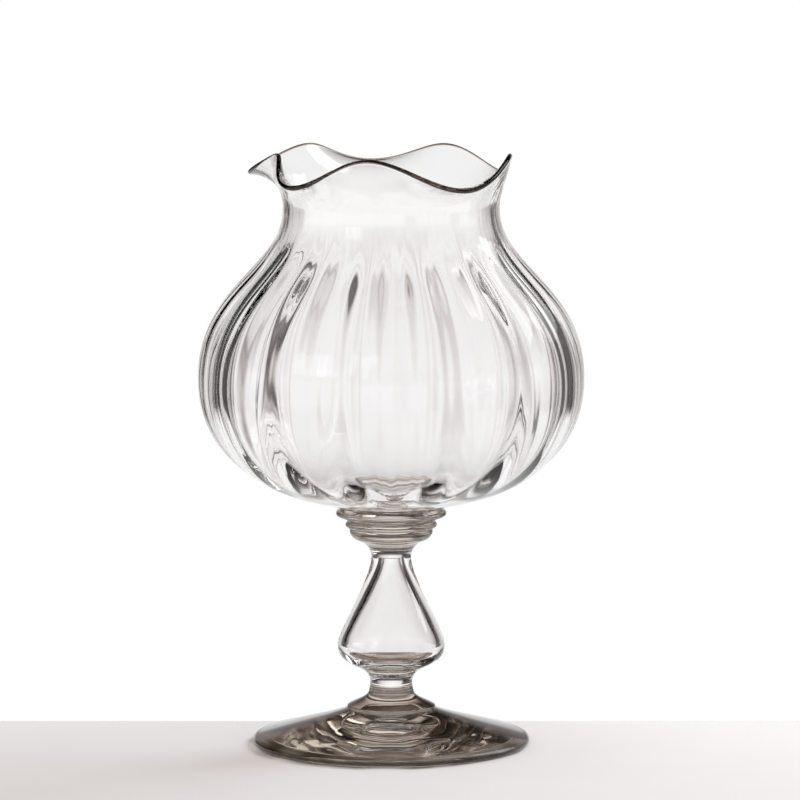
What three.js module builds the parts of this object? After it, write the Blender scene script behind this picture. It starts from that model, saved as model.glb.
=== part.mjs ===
// A hand-blown glass globe vase on a stem, in millimetres, +Z up.
// Eight gathers of glass stand on one axis, each fused to the next on a flat seam. The origin is the middle
// of the circle that the foot rests on. An angle called turn starts at the front, -Y, and grows towards +X.
import * as THREE from "three";

// Foot: a low cone with a rounded rim, hollowed underneath, standing on a ground flat ring.
const FOOT_RADIUS = 60;
const FOOT_HEIGHT = 15.5;
const FOOT_RIM = 4; // thickness of the rounded rim
const FOOT_RING_WIDTH = 6; // flat ring that it stands on
const FOOT_HOLLOW = 4.5; // rise of the underside in the middle
const FOOT_SHOULDER_RUN = 14; // reach of the top's steeper slope beside the collar
const FOOT_SHOULDER_DROP = 5;
const FOOT_BRIM_RUN = 18; // reach of the top's flatter slope beside the rim
const FOOT_BRIM_RISE = 5.2;
const PONTIL_RADIUS = 11; // polished dimple where the iron was broken off
const PONTIL_DEPTH = 1.2;

// Foot merese: a flared collar between foot and stem.
const COLLAR_RADIUS = 19.2;
const COLLAR_HEIGHT = 8.5;
const COLLAR_EDGE = 2; // thickness of its rounded edge
const COLLAR_EDGE_END = Math.PI / 3; // angle where that rounding runs into the flare

// Baluster: a pear-shaped stem, blown hollow, open at its top seam only.
// A pull is the share of a curve's height over which one of its ends keeps its direction.
const STEM_BASE_RADIUS = 9.6;
const STEM_WAIST_RADIUS = 9.1;
const STEM_WAIST_HEIGHT = 3;
const STEM_WAIST_PULL = 0.54;
const BALUSTER_RADIUS = 23.2;
const BALUSTER_BELLY_HEIGHT = 19.5; // from its bottom seam to its widest place
const BELLY_LOWER_PULL = 0.62;
const BELLY_UPPER_PULL = 0.16;
const BALUSTER_HEIGHT = 58;
const STEM_TOP_RADIUS = 8.6;
const STEM_TOP_PULL = 0.28;
const STEM_TOP_SPREAD = 0.6; // how much wider the stem is at the end of that pull
const BALUSTER_WALL = 3.6; // at the belly
const HOLLOW_FLOOR = 12; // from the bottom seam to the bottom of the air space
const HOLLOW_FLOOR_PULL = 0.6;
const HOLLOW_BELLY_PULL = 0.16;
const HOLLOW_MOUTH_PULL = 0.26;
const HOLLOW_MOUTH_RADIUS = 4;

// Stem button: the solid cone that closes the hollow and carries the discs.
const BUTTON_RADIUS = 14.4;
const BUTTON_HEIGHT = 7.5;
const BUTTON_FLARE_START = 0.85; // share of its height where it spreads out to the disc

// The three discs under the bowl.
const LOWER_MERESE_RADIUS = 18.6;
const LOWER_MERESE_HEIGHT = 5.5;
const LOWER_MERESE_ROUND_START = 0.2; // share of its height where the rounding starts
const MIDDLE_MERESE_RADIUS = 19.8;
const MIDDLE_MERESE_HEIGHT = 2.5;
const UPPER_MERESE_RADIUS = 23.9;
const UPPER_MERESE_HEIGHT = 6.5;
const DISC_NECK_RADIUS = 17; // seam between two discs
const MERESE_EDGE = 2.4; // thickness of the upper disc's rounded edge
const SAUCER_RISE = 2.5; // of that edge's underside, above the disc's bottom
const SAUCER_SAG = 1.2; // height of the saucer half way out
const UPPER_SHOULDER_RADIUS = 21.5; // where its top starts to level out towards the bowl's seam
const UPPER_SHOULDER_DROP = 0.4; // how far that place is under the seam

// Bowl: heights are from its bottom seam, radii are of its outside.
const BOWL_SEAM_RADIUS = 17;
const BOWL_RADIUS = 83.4;
const BOWL_GIRTH_HEIGHT = 56;
const BOWL_BASE_SLOPE = 0.117; // radians from level, where the wall leaves the seam
const BOWL_BASE_REACH = 49; // length of that first stretch's pull on the curve
const BOWL_BELLY_REACH = 27.5;
const BOWL_SHOULDER_REACH = 40.5;
const NECK_RADIUS = 46.6;
const NECK_HEIGHT = 130;
const NECK_REACH = 26.5;
const BOWL_WALL = 3; // at a rib's crest
const BOWL_BASE_WALL = 4.5;
const BOWL_BASE_WALL_END = 0.7; // along the curve from seam (0) to girth (1), where the wall has thinned

// Optic ribs: rounded lobes down the globe, with rounded valleys between them.
const RIBS = 16;
const RIB_TURN = THREE.MathUtils.degToRad(12.5); // turn of a valley beside the front
const RIB_DEPTH = 1.5; // outside, crest to valley
const RIB_SCOOP = 0.2; // the inside's hollow behind a valley
const RIB_SOFTNESS = 1; // 0 is a sharp valley
const RIB_FADE_IN = [0.05, 0.6]; // along the curve from seam (0) to girth (1)
const RIB_FADE_OUT = [1.5, 1.9]; // along the curve from girth (1) to neck (2)
const RIB_GIRTH_EASE = 0.4; // share of the depth that is blown out at the girth
const RIB_GIRTH_REACH = 0.6; // along the curve from the girth to where the depth is whole
const RIB_UNEVENNESS = 0.15; // the ribs are this much deeper on one side
const RIB_DEEP_TURN = THREE.MathUtils.degToRad(-60); // turn of that side's middle

// Ruffled lip: five lobes, unevenly spaced, high and drawn in, with low flared places between them.
const LIP_LOBES = 5;
const LIP_RADIUS = 58; // mean radius of the edge
const LIP_HEIGHT = 147.1; // mean height of the edge
const LIP_WALL = 2.2;
const LIP_SWING = 2.5; // how far the edge moves in and out of the mean
const LIP_WAVE = 5.5; // how far it moves up and down
const LIP_FIRST_LOBE = THREE.MathUtils.degToRad(-9.4); // turn of the high lobe nearest the front
const LIP_UNEVENNESS = 0.18; // 0 spaces the lobes evenly
const LIP_WIDE_TURN = THREE.MathUtils.degToRad(52); // turn where they are spaced most widely
const LIP_SIDE_FLARE = 5.6; // the low places flare this much further on one side
const LIP_FLARE_TURN = THREE.MathUtils.degToRad(-120); // turn of that side's middle
const LIP_OVAL = 5.35; // how far the edge is from round
const LIP_OVAL_TURN = THREE.MathUtils.degToRad(19); // turn of the oval's long way
const LIP_FRONT_WAVE = 1.1; // the wave is this much higher at the front
const LIP_RISE = 6; // upright stretch above the neck before the flare
const LIP_FLARE_ANGLE = 0.95; // radians from upright, at the edge
const LIP_FLARE_REACH = 6.5;

// Glass colours and opacities, thin to thick.
const BOWL_GLASS = [0xe6e1dc, 0.35];
const STEM_GLASS = [0xd8d1cb, 0.45];
const DISC_GLASS = [0xcfc6bf, 0.5];
const FOOT_GLASS = [0xb5aaa2, 0.55];
const POLISH = 0.04; // roughness of fire-polished glass

// Facets.
const CURVE_STEPS = 5;
const EDGE_CURVE_STEPS = 3; // on the discs, whose curves are short
const ROUND_STEPS = 32;
const BALUSTER_CURVE_STEPS = 7;
const FOOT_CURVE_STEPS = 4;
const FOOT_ROUND_STEPS = 52;
const STEPS_PER_RIB = 6;
const OUTSIDE_STEPS = 18;
const INSIDE_STEPS = 12;
const LIP_STEPS = 4;
const FLOOR_STEPS = 2;
const SLOPE_STEP = 1e-3; // along the curve, for the wall's direction

// Seam heights, each one the top of the piece below.
const COLLAR_SEAM = FOOT_HEIGHT;
const BALUSTER_SEAM = COLLAR_SEAM + COLLAR_HEIGHT;
const BUTTON_SEAM = BALUSTER_SEAM + BALUSTER_HEIGHT;
const LOWER_MERESE_SEAM = BUTTON_SEAM + BUTTON_HEIGHT;
const MIDDLE_MERESE_SEAM = LOWER_MERESE_SEAM + LOWER_MERESE_HEIGHT;
const UPPER_MERESE_SEAM = MIDDLE_MERESE_SEAM + MIDDLE_MERESE_HEIGHT;
const BOWL_SEAM = UPPER_MERESE_SEAM + UPPER_MERESE_HEIGHT;

function glass(color, opacity) {
  return new THREE.MeshStandardMaterial({
    color,
    roughness: POLISH,
    metalness: 0,
    transparent: true,
    opacity,
  });
}

// Turns a half outline, drawn as radius and height from axis to axis, into a closed round solid.
function revolve(outline, curveSteps = CURVE_STEPS, roundSteps = ROUND_STEPS) {
  const geometry = new THREE.LatheGeometry(outline.getPoints(curveSteps), roundSteps);
  return geometry.rotateX(Math.PI / 2);
}

function footGeometry() {
  const rimRound = FOOT_RIM / 2;
  const ringOuter = FOOT_RADIUS - rimRound;
  const ringInner = ringOuter - FOOT_RING_WIDTH;
  const outline = new THREE.Path();
  outline.moveTo(0, FOOT_HOLLOW + PONTIL_DEPTH);
  outline.quadraticCurveTo(PONTIL_RADIUS / 2, FOOT_HOLLOW + PONTIL_DEPTH, PONTIL_RADIUS, FOOT_HOLLOW);
  outline.quadraticCurveTo((PONTIL_RADIUS + ringInner) / 2, FOOT_HOLLOW, ringInner, 0);
  outline.lineTo(ringOuter, 0);
  outline.absarc(ringOuter, rimRound, rimRound, -Math.PI / 2, Math.PI / 2, false);
  outline.bezierCurveTo(
    ringOuter - FOOT_BRIM_RUN,
    FOOT_RIM + FOOT_BRIM_RISE,
    COLLAR_RADIUS + FOOT_SHOULDER_RUN,
    FOOT_HEIGHT - FOOT_SHOULDER_DROP,
    COLLAR_RADIUS,
    FOOT_HEIGHT,
  );
  outline.lineTo(0, FOOT_HEIGHT);
  return revolve(outline, FOOT_CURVE_STEPS, FOOT_ROUND_STEPS);
}

function collarGeometry() {
  const edgeRound = COLLAR_EDGE / 2;
  const edgeCentre = COLLAR_RADIUS - edgeRound;
  const flare = COLLAR_HEIGHT - COLLAR_EDGE;
  const outline = new THREE.Path();
  outline.moveTo(0, 0);
  outline.lineTo(edgeCentre, 0);
  outline.absarc(edgeCentre, edgeRound, edgeRound, -Math.PI / 2, COLLAR_EDGE_END, false);
  outline.bezierCurveTo(
    (COLLAR_RADIUS + STEM_BASE_RADIUS) / 2,
    COLLAR_EDGE + flare / 3,
    STEM_BASE_RADIUS,
    COLLAR_EDGE + flare / 2,
    STEM_BASE_RADIUS,
    COLLAR_HEIGHT,
  );
  outline.lineTo(0, COLLAR_HEIGHT);
  return revolve(outline, FOOT_CURVE_STEPS);
}

function balusterGeometry() {
  const belly = BALUSTER_BELLY_HEIGHT;
  const under = belly - STEM_WAIST_HEIGHT;
  const taper = BALUSTER_HEIGHT - belly;
  const hollowRadius = BALUSTER_RADIUS - BALUSTER_WALL;
  const outline = new THREE.Path();
  outline.moveTo(0, 0);
  outline.lineTo(STEM_BASE_RADIUS, 0);
  outline.quadraticCurveTo(STEM_WAIST_RADIUS, STEM_WAIST_HEIGHT / 2, STEM_WAIST_RADIUS, STEM_WAIST_HEIGHT);
  outline.bezierCurveTo(
    STEM_WAIST_RADIUS,
    STEM_WAIST_HEIGHT + under * STEM_WAIST_PULL,
    BALUSTER_RADIUS,
    belly - under * BELLY_LOWER_PULL,
    BALUSTER_RADIUS,
    belly,
  );
  outline.bezierCurveTo(
    BALUSTER_RADIUS,
    belly + taper * BELLY_UPPER_PULL,
    STEM_TOP_RADIUS + STEM_TOP_SPREAD,
    BALUSTER_HEIGHT - taper * STEM_TOP_PULL,
    STEM_TOP_RADIUS,
    BALUSTER_HEIGHT,
  );
  outline.lineTo(HOLLOW_MOUTH_RADIUS, BALUSTER_HEIGHT);
  outline.bezierCurveTo(
    HOLLOW_MOUTH_RADIUS,
    BALUSTER_HEIGHT - taper * HOLLOW_MOUTH_PULL,
    hollowRadius,
    belly + taper * HOLLOW_BELLY_PULL,
    hollowRadius,
    belly,
  );
  outline.bezierCurveTo(
    hollowRadius,
    (belly + HOLLOW_FLOOR) / 2,
    hollowRadius * HOLLOW_FLOOR_PULL,
    HOLLOW_FLOOR,
    0,
    HOLLOW_FLOOR,
  );
  return revolve(outline, BALUSTER_CURVE_STEPS);
}

function buttonGeometry() {
  const outline = new THREE.Path();
  outline.moveTo(0, 0);
  outline.lineTo(STEM_TOP_RADIUS, 0);
  outline.bezierCurveTo(
    STEM_TOP_RADIUS,
    BUTTON_HEIGHT / 2,
    (STEM_TOP_RADIUS + BUTTON_RADIUS) / 2,
    BUTTON_HEIGHT * BUTTON_FLARE_START,
    BUTTON_RADIUS,
    BUTTON_HEIGHT,
  );
  outline.lineTo(0, BUTTON_HEIGHT);
  return revolve(outline);
}

function lowerMereseGeometry() {
  const outline = new THREE.Path();
  outline.moveTo(0, 0);
  outline.lineTo(BUTTON_RADIUS, 0);
  outline.bezierCurveTo(
    LOWER_MERESE_RADIUS,
    LOWER_MERESE_HEIGHT * LOWER_MERESE_ROUND_START,
    LOWER_MERESE_RADIUS,
    LOWER_MERESE_HEIGHT,
    DISC_NECK_RADIUS,
    LOWER_MERESE_HEIGHT,
  );
  outline.lineTo(0, LOWER_MERESE_HEIGHT);
  return revolve(outline);
}

function middleMereseGeometry() {
  const edgeRound = MIDDLE_MERESE_HEIGHT / 2;
  const edgeCentre = MIDDLE_MERESE_RADIUS - edgeRound;
  const outline = new THREE.Path();
  outline.moveTo(0, 0);
  outline.lineTo(edgeCentre, 0);
  outline.absarc(edgeCentre, edgeRound, edgeRound, -Math.PI / 2, Math.PI / 2, false);
  outline.lineTo(0, MIDDLE_MERESE_HEIGHT);
  return revolve(outline, EDGE_CURVE_STEPS);
}

function upperMereseGeometry() {
  const edgeRound = MERESE_EDGE / 2;
  const edgeCentre = UPPER_MERESE_RADIUS - edgeRound;
  const outline = new THREE.Path();
  outline.moveTo(0, 0);
  outline.lineTo(DISC_NECK_RADIUS, 0);
  outline.quadraticCurveTo((DISC_NECK_RADIUS + edgeCentre) / 2, SAUCER_SAG, edgeCentre, SAUCER_RISE);
  outline.absarc(edgeCentre, SAUCER_RISE + edgeRound, edgeRound, -Math.PI / 2, Math.PI / 2, false);
  outline.lineTo(UPPER_SHOULDER_RADIUS, UPPER_MERESE_HEIGHT - UPPER_SHOULDER_DROP);
  outline.lineTo(BOWL_SEAM_RADIUS, UPPER_MERESE_HEIGHT);
  outline.lineTo(0, UPPER_MERESE_HEIGHT);
  return revolve(outline, EDGE_CURVE_STEPS);
}

// The globe's plain outline in three curves: seam to girth, girth to neck, neck to lip.
const globeCurves = [
  new THREE.CubicBezierCurve(
    new THREE.Vector2(BOWL_SEAM_RADIUS, 0),
    new THREE.Vector2(
      BOWL_SEAM_RADIUS + BOWL_BASE_REACH * Math.cos(BOWL_BASE_SLOPE),
      BOWL_BASE_REACH * Math.sin(BOWL_BASE_SLOPE),
    ),
    new THREE.Vector2(BOWL_RADIUS, BOWL_GIRTH_HEIGHT - BOWL_BELLY_REACH),
    new THREE.Vector2(BOWL_RADIUS, BOWL_GIRTH_HEIGHT),
  ),
  new THREE.CubicBezierCurve(
    new THREE.Vector2(BOWL_RADIUS, BOWL_GIRTH_HEIGHT),
    new THREE.Vector2(BOWL_RADIUS, BOWL_GIRTH_HEIGHT + BOWL_SHOULDER_REACH),
    new THREE.Vector2(NECK_RADIUS, NECK_HEIGHT - NECK_REACH),
    new THREE.Vector2(NECK_RADIUS, NECK_HEIGHT),
  ),
  new THREE.CubicBezierCurve(
    new THREE.Vector2(NECK_RADIUS, NECK_HEIGHT),
    new THREE.Vector2(NECK_RADIUS, NECK_HEIGHT + LIP_RISE),
    new THREE.Vector2(
      LIP_RADIUS - LIP_FLARE_REACH * Math.sin(LIP_FLARE_ANGLE),
      LIP_HEIGHT - LIP_FLARE_REACH * Math.cos(LIP_FLARE_ANGLE),
    ),
    new THREE.Vector2(LIP_RADIUS, LIP_HEIGHT),
  ),
];

// 1 at the top of a lobe of the lip, -1 at the bottom between two lobes.
function ruffle(turn) {
  const drift = Math.sin(turn - LIP_WIDE_TURN) - Math.sin(LIP_FIRST_LOBE - LIP_WIDE_TURN);
  return Math.cos(LIP_LOBES * (turn - LIP_FIRST_LOBE - LIP_UNEVENNESS * drift));
}

// 1 on a rib's crest, 0 in the valley between two ribs.
function ribCrest(turn) {
  const floor = RIB_SOFTNESS;
  const height = Math.hypot(Math.sin((RIBS * (turn - RIB_TURN)) / 2), floor) - floor;
  return height / (Math.hypot(1, floor) - floor);
}

// How far the mould presses in, as a share of the ribs' depth.
function ribPress(along, turn) {
  const { smoothstep } = THREE.MathUtils;
  const fade = smoothstep(along, ...RIB_FADE_IN) * (1 - smoothstep(along, ...RIB_FADE_OUT));
  const ease = 1 - RIB_GIRTH_EASE * (1 - smoothstep(Math.abs(along - 1), 0, RIB_GIRTH_REACH));
  const side = 1 + RIB_UNEVENNESS * Math.cos(turn - RIB_DEEP_TURN);
  return fade * ease * side * (1 - ribCrest(turn));
}

// Outside of the globe without its ribs. along is 0 at the seam, 1 at the girth, 2 at the neck, 3 at the lip.
function globePoint(along, turn) {
  const curve = Math.min(Math.floor(along), 2);
  const point = globeCurves[curve].getPoint(along - curve);
  const share = Math.max(along - 2, 0) ** 2;
  const lift = ruffle(turn);
  const flare = (LIP_SIDE_FLARE * Math.cos(turn - LIP_FLARE_TURN) * (1 - lift)) / 2;
  const oval = LIP_OVAL * Math.cos(2 * (turn - LIP_OVAL_TURN));
  const wave = LIP_WAVE + LIP_FRONT_WAVE * Math.cos(turn);
  return point.add(new THREE.Vector2(oval + flare - LIP_SWING * lift, wave * lift).multiplyScalar(share));
}

// Direction along the wall towards the lip, in the plane of the axis.
function globeDirection(along, turn) {
  const from = globePoint(Math.max(along - SLOPE_STEP, 0), turn);
  return globePoint(Math.min(along + SLOPE_STEP, 3), turn).sub(from).normalize();
}

function outsidePoint(along, turn) {
  const point = globePoint(along, turn);
  point.x -= RIB_DEPTH * ribPress(along, turn);
  return point;
}

function insidePoint(along, turn) {
  const thin = THREE.MathUtils.smoothstep(along, 0, BOWL_BASE_WALL_END);
  const body = THREE.MathUtils.lerp(BOWL_BASE_WALL, BOWL_WALL, thin);
  const wall = body + (LIP_WALL - BOWL_WALL) * THREE.MathUtils.smoothstep(along, 2, 3);
  const direction = globeDirection(along, turn);
  const inward = new THREE.Vector2(-direction.y, direction.x);
  const point = globePoint(along, turn).addScaledVector(inward, wall);
  point.x += RIB_SCOOP * ribPress(along, turn);
  return point;
}

// The fire-polished edge: a half circle from the outside, share 0, to the inside, share 1.
function lipPoint(share, turn) {
  const outside = globePoint(3, turn);
  const inside = insidePoint(3, turn);
  const middle = outside.clone().add(inside).divideScalar(2);
  const across = outside.sub(middle);
  const out = globeDirection(3, turn).multiplyScalar(LIP_WALL / 2);
  middle.addScaledVector(across, Math.cos(Math.PI * share));
  return middle.addScaledVector(out, Math.sin(Math.PI * share));
}

// The inside floor: share 0 where the wall ends, share 1 on the axis, the wall's slope running out to level.
function floorPoint(share, turn) {
  const edge = insidePoint(0, turn);
  const sag = (edge.x * Math.tan(BOWL_BASE_SLOPE)) / 2;
  return new THREE.Vector2(edge.x * (1 - share), edge.y - sag * (1 - (1 - share) ** 2));
}

// Rings of points from the seam, up the outside, over the lip and down the inside, with a point at each end.
// Each ring starts in a valley, so every valley and crest has its own points.
function bowlGeometry() {
  const rings = [];
  for (let i = 0; i <= OUTSIDE_STEPS; i++) {
    rings.push((turn) => outsidePoint((3 * i) / OUTSIDE_STEPS, turn));
  }
  for (let i = 1; i < LIP_STEPS; i++) {
    rings.push((turn) => lipPoint(i / LIP_STEPS, turn));
  }
  for (let i = INSIDE_STEPS; i >= 0; i--) {
    rings.push((turn) => insidePoint((3 * i) / INSIDE_STEPS, turn));
  }
  for (let i = 1; i < FLOOR_STEPS; i++) {
    rings.push((turn) => floorPoint(i / FLOOR_STEPS, turn));
  }

  const around = RIBS * STEPS_PER_RIB;
  const positions = [];
  for (const ring of rings) {
    for (let j = 0; j < around; j++) {
      const turn = RIB_TURN + (2 * Math.PI * j) / around;
      const point = ring(turn);
      positions.push(point.x * Math.sin(turn), -point.x * Math.cos(turn), point.y);
    }
  }
  const seamCentre = positions.length / 3;
  positions.push(0, 0, 0);
  const floorCentre = seamCentre + 1;
  positions.push(0, 0, floorPoint(1, 0).y);

  const faces = [];
  for (let j = 0; j < around; j++) {
    const next = (j + 1) % around;
    faces.push(seamCentre, next, j);
    for (let i = 0; i < rings.length - 1; i++) {
      const low = i * around;
      const high = low + around;
      faces.push(low + j, low + next, high + next, low + j, high + next, high + j);
    }
    const last = (rings.length - 1) * around;
    faces.push(last + j, last + next, floorCentre);
  }
  const geometry = new THREE.BufferGeometry();
  geometry.setAttribute("position", new THREE.Float32BufferAttribute(positions, 3));
  geometry.setIndex(faces);
  geometry.computeVertexNormals();
  return geometry;
}

const vase = new THREE.Group();

function addPiece(name, geometry, material, seam) {
  const piece = new THREE.Mesh(geometry, material);
  piece.name = name;
  piece.position.z = seam;
  vase.add(piece);
}

addPiece("foot", footGeometry(), glass(...FOOT_GLASS), 0);
addPiece("foot_merese", collarGeometry(), glass(...DISC_GLASS), COLLAR_SEAM);
addPiece("baluster", balusterGeometry(), glass(...STEM_GLASS), BALUSTER_SEAM);
addPiece("stem_button", buttonGeometry(), glass(...STEM_GLASS), BUTTON_SEAM);
addPiece("lower_merese", lowerMereseGeometry(), glass(...DISC_GLASS), LOWER_MERESE_SEAM);
addPiece("middle_merese", middleMereseGeometry(), glass(...DISC_GLASS), MIDDLE_MERESE_SEAM);
addPiece("upper_merese", upperMereseGeometry(), glass(...DISC_GLASS), UPPER_MERESE_SEAM);
addPiece("bowl", bowlGeometry(), glass(...BOWL_GLASS), BOWL_SEAM);

export default vase;
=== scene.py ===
"""Looks of a hand-blown glass globe vase: bowl, discs, stem and foot, with a table and light to show it."""

import math
from functools import partial

import bpy
from bpy.types import Operator, Panel, PropertyGroup
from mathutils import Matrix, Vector


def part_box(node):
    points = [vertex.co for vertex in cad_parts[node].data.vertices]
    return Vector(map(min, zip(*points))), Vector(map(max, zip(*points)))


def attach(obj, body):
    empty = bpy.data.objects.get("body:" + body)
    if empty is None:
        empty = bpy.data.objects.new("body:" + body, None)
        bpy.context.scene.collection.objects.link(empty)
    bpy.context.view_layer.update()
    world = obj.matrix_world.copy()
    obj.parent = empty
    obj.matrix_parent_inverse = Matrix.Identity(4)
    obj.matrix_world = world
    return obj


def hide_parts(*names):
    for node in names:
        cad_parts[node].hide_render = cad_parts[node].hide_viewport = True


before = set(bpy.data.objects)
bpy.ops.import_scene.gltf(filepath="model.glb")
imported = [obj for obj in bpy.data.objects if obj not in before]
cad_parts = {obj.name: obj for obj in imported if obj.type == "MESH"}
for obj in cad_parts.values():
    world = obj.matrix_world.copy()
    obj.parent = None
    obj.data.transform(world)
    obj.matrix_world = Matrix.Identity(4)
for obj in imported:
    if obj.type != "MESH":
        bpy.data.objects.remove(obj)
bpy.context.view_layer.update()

bl_info = {
    "name": "Globe Vase",
    "version": (1, 0, 0),
    "blender": (4, 5, 0),
    "location": "View3D > Sidebar > Globe Vase",
    "description": "Builds a ribbed globe vase in blown glass on its stem and foot",
    "category": "Object",
}

MM = 0.001
TINY = 1e-7  # metres; two places closer than this are one
QUARTER_TURN = math.pi / 2
UP = 0, 0, 1
WHITE = 1, 1, 1, 1

# Facets.
AROUND = 192  # steps round a turned piece; a seam's two circles share their points
BOWL_AROUND = 2 * AROUND
OUTSIDE_STEPS = 120  # up the bowl's outside
INSIDE_STEPS = 96
LIP_STEPS = 10
FLOOR_STEPS = 10
LONG_STEPS = 48  # along a turned piece's long curves
CURVE_STEPS = 24
EDGE_STEPS = 20
SHORT_STEPS = 8
SHARP_ANGLE = math.radians(35)

# How far a curve of the stem keeps the direction that it has at its end, as a share of its height.
WAIST_PULL = 0.54
BELLY_LOWER_PULL = 0.62
BELLY_UPPER_PULL = 0.16
STEM_TOP_PULL = 0.28
HOLLOW_MOUTH_PULL = 0.26
HOLLOW_BELLY_PULL = 0.16
HOLLOW_FLOOR_PULL = 0.6  # as a share of its radius
BUTTON_FLARE_START = 0.85  # share of the button's height where it spreads out to the disc
LOWER_ROUND_START = 0.2  # share of the lower disc's height where its rounding starts
COLLAR_EDGE_END = math.pi / 3  # angle where the collar's rounded edge runs into its flare

# Places along the bowl's wall, from 0 at the seam.
GIRTH, NECK, LIP = 1, 2, 3
RIB_FADE_IN = 0.05, 0.6
RIB_FADE_OUT = 1.5, 1.9
RIB_GIRTH_REACH = 0.6  # from the girth to where the ribs have their whole depth
STRIAE_FADE_IN = 0.3, 0.9
STRIAE_FADE_OUT = 2, 2.6
INSIDE_SHIFT = 20  # moves the inside's striae along, so that they don't repeat the outside's

# The glasses by slot, with how each was worked, which its name ends in. Their striae have a size across and
# along the blow, in millimetres, and lean the face to either side. gather is how fast their tint grows as the
# look gets lower, a tint that is partly painted shade, and shade is what a lamp's light keeps at each face.
GLASS = "soda_lime_glass_"
SEAM = "fused_seam"
GLASSES = {
    # Thin: next to no colour, with long fine lines that ripple what stands behind it.
    "bowl_glass": dict(how="blown", shade="#f2eeec", across=4, along=150, lean=0.17, gather=0.6),
    # The clearest, with faint lines down the stem.
    "stem_glass": dict(how="drawn", shade="#e8e2de", across=4, along=40, lean=0.03),
    # Solid and squeezed by the jacks: greyer, with faint rings and dark edges, which are partly painted
    # shade.
    "disc_glass": dict(how="tooled", shade="#e4ded9", across=8, along=5, lean=0.03),
    # Spread flat under a paddle: smoky, with broad patches, and dark at a low look and on the rim, which is
    # partly painted shade.
    "foot_glass": dict(how="spread", shade="#a39483", across=18, along=18, lean=0.08),
}
GLASS_IOR = 1.51
LOW_LOOK_POWER = 3.0  # how late the tint, partly painted shade, gathers as the look gets lower
LIT_PATCHES = 0.36, 0.62  # levels of the striae between which a lamp's light goes from shaded to whole
FLANK_GAIN = 1.5  # how much further the ribs' flanks bend light than their soft shape does

BOARD_ROUGHNESS = 0.7
BOARD_SHINE = 0.1

# Kinds of node that the trees use often, and a colour mix's inputs between its factor and its colours.
MATH = "ShaderNodeMath"
VECTOR = "ShaderNodeVectorMath"
XYZ = "ShaderNodeCombineXYZ"
MAP = "ShaderNodeMapRange"
MIX = "ShaderNodeMix"
NOISE = "ShaderNodeTexNoise"
ATTRIBUTE = "GeometryNodeInputNamedAttribute"
SKIPPED = (None,) * 5


def linear(text):
    """An sRGB hex value as linear red, green, blue and alpha."""
    values = [int(text[i : i + 2], 16) / 255 for i in (1, 3, 5)]
    return [v / 12.92 if v <= 0.04045 else ((v + 0.055) / 1.055) ** 2.4 for v in values] + [1]


# Sizes and colours that a user would change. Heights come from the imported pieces.


def number(name, description, default, **kind):
    return bpy.props.FloatProperty(name=name, description=description, default=default, **kind)


def size(name, description, mm):
    return number(name, description, mm * MM, unit="LENGTH", subtype="DISTANCE", precision=4)


def turn(name, description, degrees):
    return number(name, description, math.radians(degrees), subtype="ANGLE")


def share(name, description, default):
    return number(name, description, default, subtype="FACTOR")


def count(name, description, default):
    return bpy.props.IntProperty(name=name, description=description, default=default, min=1)


def spot(name, description, metres):
    return bpy.props.FloatVectorProperty(name=name, description=description, default=metres, subtype="XYZ")


def tint(name, description, text):
    kind = {"default": linear(text), "size": 4, "min": 0, "max": 1, "subtype": "COLOR"}
    return bpy.props.FloatVectorProperty(name=name, description=description, **kind)


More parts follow.
